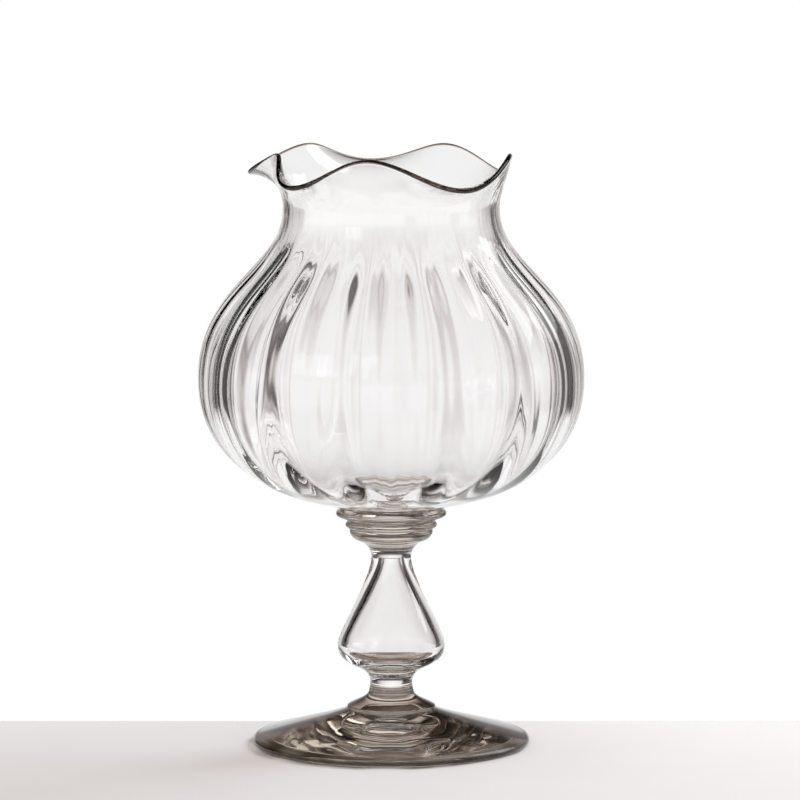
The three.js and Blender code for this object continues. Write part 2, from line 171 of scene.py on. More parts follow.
class BowlSizes(PropertyGroup):
    """Sizes of the blown bowl, its optic ribs and its ruffled lip."""

    seam_radius: size("Seam radius", "Radius of the seam on the upper disc", 17)
    radius: size("Radius", "Outside radius at the girth", 83.36)
    girth_height: size("Girth height", "From the seam to the widest place", 56)
    base_slope: turn("Base slope", "Rise of the wall where it leaves the seam", math.degrees(0.117))
    base_reach: size("Base reach", "Length over which the base keeps its slope", 49)
    belly_reach: size("Belly reach", "Upright pull below the girth", 27.5)
    shoulder_reach: size("Shoulder reach", "Upright pull above the girth", 40.5)
    neck_radius: size("Neck radius", "Outside radius of the neck", 46.6)
    neck_height: size("Neck height", "From the seam to the neck", 130)
    neck_reach: size("Neck reach", "Upright pull below the neck", 26.5)
    wall: size("Wall", "Thickness of the wall at a rib's crest", 3)
    lip_wall: size("Lip wall", "Thickness of the lip", 2.2)
    base_wall: size("Base wall", "Thickness of the wall at the seam", 4.5)
    base_wall_end: share("Base wall end", "Share of the way to the girth where the wall is thin", 0.7)
    ribs: count("Ribs", "Optic ribs round the globe", 16)
    rib_turn: turn("Rib turn", "Turn of a valley beside the front", 12.5)
    rib_depth: size("Rib depth", "Crest to valley, outside", 1.5)
    rib_scoop: size("Rib scoop", "Hollow of the inside behind a valley", 0.2)
    rib_softness: share("Rib softness", "0 is a sharp valley", 1)
    rib_girth_ease: share("Girth ease", "Share of the ribs' depth that is blown out at the girth", 0.4)
    rib_unevenness: share("Rib unevenness", "How much deeper the ribs are on one side", 0.15)
    rib_deep_turn: turn("Deep turn", "Turn of that side's middle", -60)
    lobes: count("Lip lobes", "High places round the lip", 5)
    lip_radius: size("Lip radius", "Mean radius of the lip", 58)
    lip_height: size("Lip height", "Mean height of the lip above the seam", 147)
    lip_swing: size("Lip swing", "Movement of the lip in and out", 2.5)
    lip_wave: size("Lip wave", "Movement of the lip up and down", 5.5)
    first_lobe: turn("First lobe", "Turn of the high place nearest the front", -9.4)
    unevenness: share("Unevenness", "0 spaces the lobes evenly", 0.18)
    wide_turn: turn("Wide turn", "Turn where the lobes are spaced most widely", 52)
    side_flare: size("Side flare", "Further flare of the low places on one side", 5.6)
    flare_turn: turn("Flare turn", "Turn of that side's middle", -120)
    oval: size("Oval", "How far the lip is from round", 5.35)
    oval_turn: turn("Oval turn", "Turn of the oval's long way", 19)
    front_wave: size("Front wave", "Higher wave at the front", 1.1)
    lip_rise: size("Lip rise", "Upright stretch above the neck", 6)
    flare_angle: turn("Flare angle", "Lean of the lip's edge from upright", math.degrees(0.95))
    flare_reach: size("Flare reach", "Length over which the edge keeps its lean", 6.5)


class StemSizes(PropertyGroup):
    """Sizes of the discs, the button, the hollow baluster and its collar."""

    collar_radius: size("Collar radius", "Edge of the collar on the foot", 19.2)
    collar_edge: size("Collar edge", "Thickness of the collar's edge", 2)
    base_radius: size("Base radius", "Stem at its bottom seam", 9.6)
    waist_radius: size("Waist radius", "Narrowest place under the belly", 9.1)
    waist_height: size("Waist height", "From the bottom seam to the waist", 3)
    belly_radius: size("Belly radius", "Widest place of the baluster", 23.2)
    belly_height: size("Belly height", "From the bottom seam to the belly", 19.5)
    top_radius: size("Top radius", "Stem at its top seam", 8.6)
    top_spread: size("Top spread", "Widening just under the top seam", 0.6)
    wall: size("Wall", "Glass at the belly, outside the hollow", 3.6)
    hollow_floor: size("Hollow floor", "From the bottom seam to the air space", 12)
    hollow_mouth: size("Hollow mouth", "Radius of the air space at the top seam", 4)
    button_radius: size("Button radius", "Top of the button", 14.4)
    lower_radius: size("Lower disc radius", "Edge of the lower disc", 18.6)
    middle_radius: size("Middle disc radius", "Edge of the middle disc", 19.8)
    upper_radius: size("Upper disc radius", "Edge of the upper disc", 23.9)
    upper_edge: size("Upper disc edge", "Thickness of the upper disc's edge", 2.4)
    upper_shoulder: size("Upper disc shoulder", "Where the upper disc's top starts to level out", 21.5)
    upper_drop: size("Upper disc drop", "How far that place is under the seam", 0.4)
    neck_radius: size("Disc neck radius", "Seam between two discs", 17)
    saucer_rise: size("Saucer rise", "Underside of the upper disc's edge above its bottom", 2.5)
    saucer_sag: size("Saucer sag", "Height of the upper disc's underside half way out", 1.2)


class FootSizes(PropertyGroup):
    """Sizes of the spread foot."""

    radius: size("Radius", "Edge of the foot", 60)
    rim: size("Rim", "Thickness of the rounded rim", 4)
    ring_width: size("Ring width", "Flat ring that it stands on", 6)
    hollow: size("Hollow", "Rise of the underside", 4.5)
    shoulder_run: size("Shoulder run", "Reach of the steep slope by the collar", 14)
    shoulder_drop: size("Shoulder drop", "Fall of the steep slope by the collar", 5)
    brim_run: size("Brim run", "Reach of the flat slope by the rim", 18)
    brim_rise: size("Brim rise", "Rise of the flat slope by the rim", 5.2)
    pontil_radius: size("Pontil radius", "Polished dimple underneath", 11)
    pontil_depth: size("Pontil depth", "Depth of the dimple", 1.2)


class GlassLook(PropertyGroup):
    """Colours of the glass and marks of the hand that worked it."""

    # The streak tints show at a low look and on rims, where they are partly painted shade.
    bowl: tint("Bowl", "Thin blown wall", "#fefdfd")
    bowl_streak: tint("Bowl streak", "Striae in the thin wall", "#5c4a40")
    stem: tint("Stem", "Hollow drawn stem", "#fefdfd")
    stem_streak: tint("Stem streak", "Striae in the stem", "#f0ecea")
    disc: tint("Disc", "Solid discs", "#dcd1c6")
    disc_streak: tint("Disc streak", "Striae in the discs", "#3a2c22")
    foot: tint("Foot", "Spread foot", "#e8d8c8")
    foot_streak: tint("Foot streak", "Striae in the foot", "#140c08")
    wobble: size("Wobble", "How far the jacks leave a turned face out of round", 0.3)
    wobble_size: size("Wobble size", "From one such place to the next", 30)
    dent: size("Dent", "How far the paddle leaves the foot's underside uneven", 1.6)
    dent_size: size("Dent size", "From one such place to the next", 24)


class StageSettings(PropertyGroup):
    """Table, light and camera."""

    table: tint("Table", "Matt board under the vase", "#e9e5e4")
    table_worn: tint("Worn table", "Duller places of the board", "#e4e0df")
    mottle: size("Mottle", "From one duller place to the next", 60)
    table_end: size("Table end", "How far the table reaches behind the vase", 53)
    table_size: size("Table size", "Half the table's side", 600)
    lamp_power: number("Lamp power", "Power of the softbox", 23, unit="POWER")
    lamp_size: size("Lamp size", "Side of the softbox", 600)
    lamp_place: spot("Lamp place", "Middle of the softbox", (1.02, 0.69, 0.95))
    ambient: share("Ambient", "Level of the even light on matt surfaces", 0.62)
    room_tone: tint("Room tone", "Tone of the studio's dark places", "#fff0ea")
    camera_place: spot("Camera place", "Where the camera stands", (3.8 * MM, -2.6, 0.488))
    camera_aim: spot("Camera aim", "What it looks at", (3.8 * MM, 0, 150.3 * MM))
    lens: number("Lens", "Focal length, in millimetres on a 36 mm sensor", 273.6)


GROUPS = {
    "vase_bowl": BowlSizes,
    "vase_stem": StemSizes,
    "vase_foot": FootSizes,
    "vase_glass": GlassLook,
    "vase_stage": StageSettings,
}


def place(tree, kind, *sources, op=None, **settings):
    """Adds a node, sets it up and feeds its inputs, in order or by name, with values, sockets or nodes. op is
    a math node's operation."""
    node = tree.nodes.new(kind)
    if op:
        node.operation = op
    inputs = dict(enumerate(sources))
    for key, value in settings.items():
        if key in node.inputs:
            inputs[key] = value
        else:
            setattr(node, key, value)
    for key, source in inputs.items():
        if source is None:
            continue
        if isinstance(source, bpy.types.Node):
            source = next(socket for socket in source.outputs if socket.enabled)
        if isinstance(source, bpy.types.NodeSocket):
            tree.links.new(source, node.inputs[key])
        else:
            node.inputs[key].default_value = source
    return node


def levels(node):
    """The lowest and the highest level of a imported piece."""
    low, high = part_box(node)
    return low.z, high.z


# Materials


def empty_material(name):
    """A material without nodes. Returns it and the function that adds a node to it."""
    material = bpy.data.materials.new(name)
    material.use_nodes = True
    material.node_tree.nodes.clear()
    return material, partial(place, material.node_tree)


def glass_worked(how):
    if GLASS + how not in bpy.data.materials:
        raise RuntimeError(f"{GLASS + how} isn't mixed yet")
    return bpy.data.materials[GLASS + how]


def glass_material(clear, streak, how, shade, across, along, lean, gather=3.0):
    """Soda-lime glass with a fire-polished face: clear, mirror-smooth and 4% shiny face on. Striae, streaks
    of another melt, run along the blow and bend what is seen through them. Their warm grey is painted in
    where a
    look goes through much glass: at a low look, on a blown piece's lip and on a spread one's rim. It is
    partly the longer way through the glass and partly painted shade for the dark room that the glass shows
    there. Lamps shine through in patches and are dimmed elsewhere."""
    add = empty_material(GLASS + how)[1]
    face = add("ShaderNodeNewGeometry").outputs
    # A blown piece's lip edge carries rim, which takes the whole streak tint: a painted dark line of shade.
    if how == "blown":
        carried = [add("ShaderNodeAttribute", attribute_name=name) for name in ("blow", "drawn", "rim")]
        coords, drawn, edge = (node.outputs[key] for node, key in zip(carried, ("Vector", "Fac", "Fac")))
    else:
        coords = add("ShaderNodeTexCoord").outputs["Object"]
        drawn, edge = 1.0, 0.0
    # A spread piece's steep faces, its rim, take the whole streak tint: a painted dark line of shade.
    if how == "spread":
        level = add(VECTOR, face["Normal"], UP, op="DOT_PRODUCT")
        level = add(MATH, level, level, op="MULTIPLY")
        edge = add(MATH, 1.0, level, op="SUBTRACT")
    pitch = [1 / (length * MM) for length in (across, across, along)]
    striae = add(NOISE, Vector=add("ShaderNodeMapping", coords, Scale=pitch), Scale=1.0, Detail=0.0).outputs

    # The tint grows at a low look and on rims: partly the glass's longer way, partly painted shade.
    grazing = add("ShaderNodeLayerWeight").outputs["Facing"]
    depth = add(MATH, grazing, LOW_LOOK_POWER, op="POWER")
    tint_and_painted_shade = add(MATH, add(MATH, striae["Fac"], depth, op="MULTIPLY"), gather, op="MULTIPLY")
    tint_and_painted_shade = add(MATH, tint_and_painted_shade, edge, op="MAXIMUM")
    colour = add(MIX, tint_and_painted_shade, *SKIPPED, clear, streak, data_type="RGBA")

    # Seen from inside the glass, a face leans the other way. At a low look the striae close up and fade.
    side = add(MATH, face["Backfacing"], -2.0, 1.0, op="MULTIPLY_ADD")
    facing = add(MATH, 1.0, grazing, op="SUBTRACT")
    fade = add(MATH, drawn, facing, op="MULTIPLY")
    strength = add(MATH, side, fade, op="MULTIPLY")
    ways = add(VECTOR, striae["Color"], (0.5, 0.5, 0.5), op="SUBTRACT")
    leans = add(VECTOR, ways, (lean, lean, lean * across / along), op="MULTIPLY")
    leaning = add(VECTOR, leans, strength, face["Normal"], op="MULTIPLY_ADD")
    if how == "blown":
        # The flanks of the ribs bend light round the axis.
        around = add(VECTOR, add(VECTOR, UP, coords, op="CROSS_PRODUCT"), op="NORMALIZE")
        flank = add(VECTOR, face["Normal"], around, op="DOT_PRODUCT")
        flank = add(MATH, add(MATH, flank, FLANK_GAIN, op="MULTIPLY"), fade, op="MULTIPLY")
        leaning = add(VECTOR, around, flank, leaning, op="MULTIPLY_ADD")
    normal = add(VECTOR, leaning, op="NORMALIZE")

    metal = {"Base Color": colour, "Roughness": 0.0, "IOR": GLASS_IOR, "Transmission Weight": 1.0}
    body = add("ShaderNodeBsdfPrincipled", Normal=normal, **metal)
    patches = add(MAP, striae["Fac"], *LIT_PATCHES)
    passed = add(MIX, patches, *SKIPPED, linear(shade), WHITE, data_type="RGBA")
    through = add("ShaderNodeBsdfTransparent", passed)
    lamp = add("ShaderNodeLightPath").outputs["Is Shadow Ray"]
    add("ShaderNodeOutputMaterial", add("ShaderNodeMixShader", lamp, body, through))


def seam_material():
    """Glass fused to glass: two gathers melted into one, so their seam neither bends nor mirrors light."""
    add = empty_material(GLASS + SEAM)[1]
    add("ShaderNodeOutputMaterial", add("ShaderNodeBsdfTransparent", WHITE))


def board_material(colour, worn, mottle):
    """Matt painted board: no shine to speak of, and faint duller places where the paint lies thinner."""
    material, add = empty_material("matt_painted_board")
    coords = add("ShaderNodeTexCoord").outputs["Object"]
    patches = add(NOISE, Vector=coords, Scale=1 / mottle, Detail=2.0)
    paint = add(MIX, patches, *SKIPPED, colour, worn, data_type="RGBA")
    finish = {"Base Color": paint, "Roughness": BOARD_ROUGHNESS, "Specular IOR Level": BOARD_SHINE}
    add("ShaderNodeOutputMaterial", add("ShaderNodeBsdfPrincipled", **finish))
    return material


# Outlines of turned pieces, as radius and height


def smooth(value, low, high):
    """0 below low, 1 above high, with a soft start and end between them."""
    x = min(max((value - low) / (high - low), 0), 1)
    return x * x * (3 - 2 * x)


def curve_point(ends, t):
    """The point at share t of a cubic curve, from its two ends and the two pulls between them."""
    weights = ((1 - t) ** 3, 3 * t * (1 - t) ** 2, 3 * t * t * (1 - t), t**3)
    return tuple(sum(w * p[k] for w, p in zip(weights, ends)) for k in range(2))


def curve_slope(ends, t):
    """How the curve moves there, for each unit of t."""
    weights = (3 * (1 - t) ** 2, 6 * t * (1 - t), 3 * t * t)
    steps = [(b[0] - a[0], b[1] - a[1]) for a, b in zip(ends, ends[1:])]
    return tuple(sum(w * p[k] for w, p in zip(weights, steps)) for k in range(2))


def bend(outline, first, second, end, steps):
    """Carries an outline on along a cubic curve."""
    ends = (outline[-1], first, second, end)
    outline += [curve_point(ends, i / steps) for i in range(1, steps + 1)]


def bow(outline, middle, end, steps):
    """Carries an outline on along a quadratic curve."""
    first = [s + (m - s) * 2 / 3 for s, m in zip(outline[-1], middle)]
    second = [e + (m - e) * 2 / 3 for e, m in zip(end, middle)]
    bend(outline, first, second, end, steps)


def line(outline, end, steps):
    """Carries an outline straight on."""
    start = outline[-1]
    outline += [tuple(s + (e - s) * i / steps for s, e in zip(start, end)) for i in range(1, steps + 1)]


def arc(centre, radius, end=QUARTER_TURN):
    """Points round an edge, with both ends, from its lowest point to an angle above outwards."""
    angles = [-QUARTER_TURN + (end + QUARTER_TURN) * i / EDGE_STEPS for i in range(EDGE_STEPS + 1)]
    return [(centre[0] + radius * math.cos(a), centre[1] + radius * math.sin(a)) for a in angles]


def ring_points(r, z, around):
    """A level circle of points, from the front, -Y, towards +X."""
    angles = [2 * math.pi * j / around for j in range(around)]
    return [(r * math.sin(a), -r * math.cos(a), z) for a in angles]


def ring_faces(rings, around):
    """Faces of a closed skin over rings of points, whose two poles come after the last ring: for each face,
    its points and the ring under it, -1 at the first pole."""
    first_pole, last_pole, last = rings * around, rings * around + 1, (rings - 1) * around
    for j in range(around):
        following = (j + 1) % around
        yield (first_pole, following, j), -1
        for i in range(rings - 1):
            low, high = i * around, (i + 1) * around
            yield (low + j, low + following, high + following, high + j), i
        yield (last + j, last + following, last_pole), rings - 1


def closed_mesh(name, verts, faces, fused, of_points):
    """A mesh that carries which of its faces are fused, and values of its points."""
    mesh = bpy.data.meshes.new(name)
    mesh.from_pydata(verts, [], faces, shade_flat=False)
    mesh.attributes.new("fused", "BOOLEAN", "FACE").data.foreach_set("value", fused)
    for key, values in of_points.items():
        mesh.attributes.new(key, "FLOAT", "POINT").data.foreach_set("value", values)
    return mesh


def turned_mesh(name, outline, seams, dented):
    """A closed mesh of revolution from an outline, whose ends join the axis on their level. A face is fused
    where it lies on a seam, given as height, inner and outer radius. dented gives a point's share of the
    paddle's dents."""

    def on_seam(p, z, inner, outer):
        return abs(p[1] - z) < TINY and inner - TINY < p[0] < outer + TINY

    rings = [p for p in outline if p[0] > TINY]
    poles = [(0, outline[0][1]), (0, outline[-1][1])]
    verts = [v for r, z in rings for v in ring_points(r, z, AROUND)] + [(0, *pole) for pole in poles]
    faces, under = zip(*ring_faces(len(rings), AROUND))
    path = [poles[0], *rings, poles[1]]
    steps = [path[i + 1 : i + 3] for i in under]
    fused = [any(on_seam(a, *seam) and on_seam(b, *seam) for seam in seams) for a, b in steps]
    shares = [dented(p) for p in rings for j in range(AROUND)] + [dented(p) for p in poles]
    mesh = closed_mesh(name, verts, faces, fused, {"dented": shares})
    mesh.set_sharp_from_angle(angle=SHARP_ANGLE)
    return mesh


# Geometry node trees. Their inputs are named for the properties that feed them.

TOOLING_SIZES = ("wobble", "wobble_size", "dent", "dent_size")
BOWL_TURNS = ("rib_turn", "rib_deep_turn", "first_lobe", "wide_turn", "flare_turn", "oval_turn")
RIB_SIZES = ("ribs", "rib_depth", "rib_scoop", "rib_softness", "rib_unevenness")
LIP_SIZES = ("lobes", "unevenness", "lip_swing", "lip_wave", "side_flare", "front_wave", "oval")
BOWL_TREE_SIZES = (*BOWL_TURNS, *RIB_SIZES, *LIP_SIZES)

# What the points of the plain globe carry for the tree: the wall's slope, how much of the ruffle they take
# and how fast that grows, how far they lie inside the wall and over the lip, and their share of the ribs.
BOWL_ATTRIBUTES = (
    "slope_out", "slope_up", "lip_share", "lip_slope", "inward", "forward", "rib_outside", "rib_inside"
)


def label(key):
    return key.replace("_", " ").title()


def new_tree(name, sizes):
    """A geometry node tree with named inputs: sizes, the glass and the fused seam. Returns it, the function
    that adds a node to it and the inputs."""
    tree = bpy.data.node_groups.new(name, "GeometryNodeTree")
    tree.interface.new_socket("Geometry", in_out="OUTPUT", socket_type="NodeSocketGeometry")
    kinds = {"geometry": "Geometry", **dict.fromkeys(sizes, "Float"), "glass": "Material", "seam": "Material"}
    for key, kind in kinds.items():
        tree.interface.new_socket(label(key), in_out="INPUT", socket_type="NodeSocket" + kind)
    add = partial(place, tree)
    sockets = add("NodeGroupInput").outputs
    return tree, add, {key: sockets[label(key)] for key in kinds}


def end_tree(add, given, offset):
    """Moves the points, realizes the result and gives its faces the glass, or the seam where fused."""
    moved = add("GeometryNodeSetPosition", given["geometry"], Offset=offset)
    whole = add("GeometryNodeRealizeInstances", moved)
    fused = add(ATTRIBUTE, "fused", data_type="BOOLEAN")
    glazed = add("GeometryNodeSetMaterial", whole, None, given["glass"])
    add("NodeGroupOutput", add("GeometryNodeSetMaterial", glazed, fused, given["seam"]))


def hand_tooling_tree():
    """Moves the faces of a turned piece in and out a little, as jacks leave them, and dents its underside, as
    a paddle does."""
    tree, add, given = new_tree("hand_tooling", TOOLING_SIZES)
    position = add("GeometryNodeInputPosition")
    outward = add(VECTOR, add(VECTOR, position, (1, 1, 0), op="MULTIPLY"), op="NORMALIZE")
    reach = {}
    for key in ("wobble", "dent"):
        pitch = add(MATH, 1.0, given[key + "_size"], op="DIVIDE")
        waves = add(NOISE, Vector=position, Scale=pitch, Detail=1.0)
        centred = add(MATH, waves, 0.5, op="SUBTRACT")
        reach[key] = add(MATH, centred, given[key], op="MULTIPLY")
    dented = add(ATTRIBUTE, "dented")
    upwards = add(XYZ, 0.0, 0.0, add(MATH, reach["dent"], dented, op="MULTIPLY"))
    end_tree(add, given, add(VECTOR, outward, reach["wobble"], upwards, op="MULTIPLY_ADD"))
    return tree


def optic_mould_tree():
    """Presses the ribs into a plain blown globe and ruffles its lip. The globe's points carry their turn
    round the axis, the wall's slope and where on the wall they lie."""
    tree, add, given = new_tree("optic_mould", BOWL_TREE_SIZES)
    of_point = {name: add(ATTRIBUTE, name) for name in ("turn", *BOWL_ATTRIBUTES)}
    turned = of_point["turn"]
    past = {key: add(MATH, turned, given[key], op="SUBTRACT") for key in BOWL_TURNS}
    sine, cosine = (add(MATH, turned, op=op) for op in ("SINE", "COSINE"))
    outward = add(XYZ, sine, add(MATH, cosine, -1.0, op="MULTIPLY"), 0.0)

    # The ruffle's lift, 1 on a lobe and -1 between two. The lobes drift from even places.
    first = add(MATH, given["first_lobe"], given["wide_turn"], op="SUBTRACT")
    first, drift = (add(MATH, angle, op="SINE") for angle in (first, past["wide_turn"]))
    drift = add(MATH, add(MATH, drift, first, op="SUBTRACT"), given["unevenness"], op="MULTIPLY")
    phase = add(MATH, past["first_lobe"], drift, op="SUBTRACT")
    lift = add(MATH, add(MATH, phase, given["lobes"], op="MULTIPLY"), op="COSINE")

    # How far the ruffle spreads outwards and rises.
    low = add(MATH, lift, -0.5, 0.5, op="MULTIPLY_ADD")
    flare = add(MATH, add(MATH, past["flare_turn"], op="COSINE"), low, op="MULTIPLY")
    twice = add(MATH, past["oval_turn"], 2.0, op="MULTIPLY")
    oval = add(MATH, add(MATH, twice, op="COSINE"), given["oval"], op="MULTIPLY")
    spread = add(MATH, flare, given["side_flare"], oval, op="MULTIPLY_ADD")
    spread = add(MATH, spread, add(MATH, given["lip_swing"], lift, op="MULTIPLY"), op="SUBTRACT")
    wave = add(MATH, given["front_wave"], cosine, given["lip_wave"], op="MULTIPLY_ADD")
    rise = add(XYZ, 0.0, 0.0, add(MATH, wave, lift, op="MULTIPLY"))
    ruffle = add(VECTOR, outward, spread, rise, op="MULTIPLY_ADD")

    # The ruffled wall's own directions: along it towards the lip, and square to it into the glass.
    slope = add(XYZ, 0.0, 0.0, of_point["slope_up"])
    slope = add(VECTOR, outward, of_point["slope_out"], slope, op="MULTIPLY_ADD")
    slope = add(VECTOR, ruffle, of_point["lip_slope"], slope, op="MULTIPLY_ADD")
    along = add(VECTOR, slope, op="NORMALIZE")
    around = add(VECTOR, outward, UP, op="CROSS_PRODUCT")
    inward = add(VECTOR, around, along, op="CROSS_PRODUCT")

    # The valley between two ribs, 1 at its bottom and 0 on a rib's crest.
    soft = given["rib_softness"]
    half_ribs = add(MATH, given["ribs"], 0.5, op="MULTIPLY")
    bowed = add(MATH, add(MATH, past["rib_turn"], half_ribs, op="MULTIPLY"), op="SINE")
    squared = add(MATH, soft, soft, op="MULTIPLY")
    height = add(MATH, bowed, bowed, squared, op="MULTIPLY_ADD")
    whole = add(MATH, squared, 1.0, op="ADD")
    height, whole = (add(MATH, add(MATH, x, op="SQRT"), soft, op="SUBTRACT") for x in (height, whole))
    valley = add(MATH, 1.0, add(MATH, height, whole, op="DIVIDE"), op="SUBTRACT")

    # How far the mould presses in; the inside is scooped the other way behind a valley.
    pressed = add(MATH, given["rib_depth"], of_point["rib_outside"], op="MULTIPLY")
    scooped = add(MATH, given["rib_scoop"], of_point["rib_inside"], op="MULTIPLY")
    depth = add(MATH, scooped, pressed, op="SUBTRACT")
    uneven = add(MATH, past["rib_deep_turn"], op="COSINE")
    uneven = add(MATH, uneven, given["rib_unevenness"], 1.0, op="MULTIPLY_ADD")
    depth = add(MATH, add(MATH, depth, uneven, op="MULTIPLY"), valley, op="MULTIPLY")

    offset = add(VECTOR, ruffle, of_point["lip_share"], op="MULTIPLY")
    for way, reach in ((inward, of_point["inward"]), (along, of_point["forward"]), (outward, depth)):
        offset = add(VECTOR, way, reach, offset, op="MULTIPLY_ADD")
    end_tree(add, given, offset)
    return tree


def shaped(name, mesh, tree, group, sizes, slot):
    """Runs a tree on a mesh, with sizes from a property group. Returns an object with the plain result."""
    piece = bpy.data.objects.new(name, mesh)
    bpy.context.scene.collection.objects.link(piece)
    values = {label(key): float(getattr(group, key)) for key in sizes}
    values |= {"Glass": glass_worked(GLASSES[slot]["how"]), "Seam": glass_worked(SEAM)}
    modifier = piece.modifiers.new(tree.name, "NODES")
    modifier.node_group = tree
    for item in tree.interface.items_tree:
        if item.in_out == "INPUT" and item.name in values:
            modifier[item.identifier] = values[item.name]
    depsgraph = bpy.context.evaluated_depsgraph_get()
    result = bpy.data.meshes.new_from_object(
        piece.evaluated_get(depsgraph), preserve_all_data_layers=True, depsgraph=depsgraph
    )
    if not result.polygons:
        raise RuntimeError(f"{name} came out empty")
    result.name = name
    piece.modifiers.clear()
    piece.data = result
    bpy.data.meshes.remove(mesh)
    return piece


def finished(piece, node, spent):
    """Drops the attributes that only the tree needed and lets the piece stand for its node."""
    for name in spent:
        piece.data.attributes.remove(piece.data.attributes[name])
    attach(piece, "root")
    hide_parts(node)


def tooled_piece(node, slot, outline, seams, dented=lambda point: 0):
    """A piece turned from its outline and left a little out of round by the tools."""
    mesh = turned_mesh(node + "_outline", outline, seams, dented)
    tree = bpy.data.node_groups.get("hand_tooling") or hand_tooling_tree()
    piece = shaped(node + "_glass", mesh, tree, bpy.context.scene.vase_glass, TOOLING_SIZES, slot)
    finished(piece, node, ("fused", "dented"))


# Operators


class OBJECT_OT_vase_glass(Operator):
    """Mix the vase's glasses"""

    bl_idname = "object.vase_glass"
    bl_label = "Mix Glass"

    def execute(self, context):
        look = context.scene.vase_glass
        for slot, glass in GLASSES.items():
            part = slot.removesuffix("_glass")
            glass_material(getattr(look, part), getattr(look, part + "_streak"), **glass)
        seam_material()
        return {"FINISHED"}


class OBJECT_OT_vase_bowl(Operator):
    """Blow the globe, press its ribs and ruffle its lip"""

    bl_idname = "object.vase_bowl"
    bl_label = "Blow Bowl"

    def execute(self, context):
        s = context.scene.vase_bowl
        mesh = self.globe_mesh(s, self.globe_rings(s))
        piece = shaped("bowl_glass", mesh, optic_mould_tree(), s, BOWL_TREE_SIZES, "bowl_glass")
        piece.data.set_sharp_from_angle(angle=SHARP_ANGLE)
        finished(piece, "bowl", ("turn", "fused", *BOWL_ATTRIBUTES))
        return {"FINISHED"}

    def globe_rings(self, s):
        """Rings of the plain globe from the seam, up the outside, over the lip, down the inside and over the
        floor. Each has its radius, its height above the seam and what its points carry."""
        girth, neck = (s.radius, s.girth_height), (s.neck_radius, s.neck_height)
        base = (s.seam_radius + s.base_reach * math.cos(s.base_slope), s.base_reach * math.sin(s.base_slope))
        belly, shoulder = (s.radius, girth[1] - s.belly_reach), (s.radius, girth[1] + s.shoulder_reach)
        throat, rise = (s.neck_radius, neck[1] - s.neck_reach), (s.neck_radius, neck[1] + s.lip_rise)
        edge = (
            s.lip_radius - s.flare_reach * math.sin(s.flare_angle),
            s.lip_height - s.flare_reach * math.cos(s.flare_angle),
        )
        curves = (
            ((s.seam_radius, 0), base, belly, girth),
            (girth, shoulder, throat, neck),
            (neck, rise, edge, (s.lip_radius, s.lip_height)),
        )

        def ring(along, **more):
            curve = min(int(along), NECK)
            r, z = curve_point(curves[curve], along - curve)
            out, up = curve_slope(curves[curve], along - curve)
            lip = max(along - NECK, 0)
            plain = dict.fromkeys((*BOWL_ATTRIBUTES, "rim"), 0)
            slopes = {"slope_out": out, "slope_up": up, "lip_share": lip * lip, "lip_slope": 2 * lip}
            drawn = smooth(along, *STRIAE_FADE_IN) * (1 - smooth(along, *STRIAE_FADE_OUT))
            return {"r": r, "z": z, "drawn": drawn, **plain, **slopes, **more}

        def ribbed(along):
            fade = smooth(along, *RIB_FADE_IN) * (1 - smooth(along, *RIB_FADE_OUT))
            return fade * (1 - s.rib_girth_ease * (1 - smooth(abs(along - GIRTH), 0, RIB_GIRTH_REACH)))

        rings = []
        for i in range(OUTSIDE_STEPS + 1):
            along = LIP * i / OUTSIDE_STEPS
            rings.append(ring(along, rib_outside=ribbed(along)))
        for i in range(1, LIP_STEPS):
            angle = math.pi * i / LIP_STEPS
            inward, forward = (1 - math.cos(angle)) / 2, math.sin(angle) / 2
            # The lip's edge is marked rim; the glass paints it with its whole streak tint as painted shade.
            rings.append(ring(LIP, inward=s.lip_wall * inward, forward=s.lip_wall * forward, rim=1))
        for i in range(INSIDE_STEPS, -1, -1):
            along = LIP * i / INSIDE_STEPS
            thick = s.base_wall + (s.wall - s.base_wall) * smooth(along, 0, s.base_wall_end)
            thick += (s.lip_wall - s.wall) * smooth(along, NECK, LIP)
            rings.append(ring(along, inward=thick, rib_inside=ribbed(along)))
        floor_r = s.seam_radius - s.base_wall * math.sin(s.base_slope)
        floor_z = s.base_wall * math.cos(s.base_slope)
        sag = floor_r * math.tan(s.base_slope) / 2
        for i in range(1, FLOOR_STEPS + 1):
            reach = 1 - i / FLOOR_STEPS
            rings.append(ring(0, r=floor_r * reach, z=floor_z - sag * (1 - reach**2)))
        return rings

    def globe_mesh(self, s, rings):
        """The plain globe's mesh. Its last ring is the pole of its floor. Points also carry their turn, their
        place on the blown skin, where the striae run, how far the wall was drawn out there and whether they
        are on the lip's edge."""
        seam = levels("bowl")[0]
        floor = rings[-1]["z"]
        rings = rings[:-1]
        verts, blow = [], []
        for ring in rings:
            verts += ring_points(ring["r"], seam + ring["z"], BOWL_AROUND)
            for on_skin in ring_points(s.radius, ring["z"] + INSIDE_SHIFT * ring["inward"], BOWL_AROUND):
                blow += on_skin
        verts += [(0, 0, seam), (0, 0, seam + floor)]
        faces, under = zip(*ring_faces(len(rings), BOWL_AROUND))
        poles = [0, 0]
        turns = [2 * math.pi * j / BOWL_AROUND for j in range(BOWL_AROUND)] * len(rings)
        of_points = {"turn": turns + poles}
        for name in (*BOWL_ATTRIBUTES, "drawn", "rim"):
            of_points[name] = [value for ring in rings for value in [ring[name]] * BOWL_AROUND] + poles
        mesh = closed_mesh("bowl_outline", verts, faces, [i == -1 for i in under], of_points)
        mesh.attributes.new("blow", "FLOAT_VECTOR", "POINT").data.foreach_set("vector", blow + 3 * poles)
        return mesh


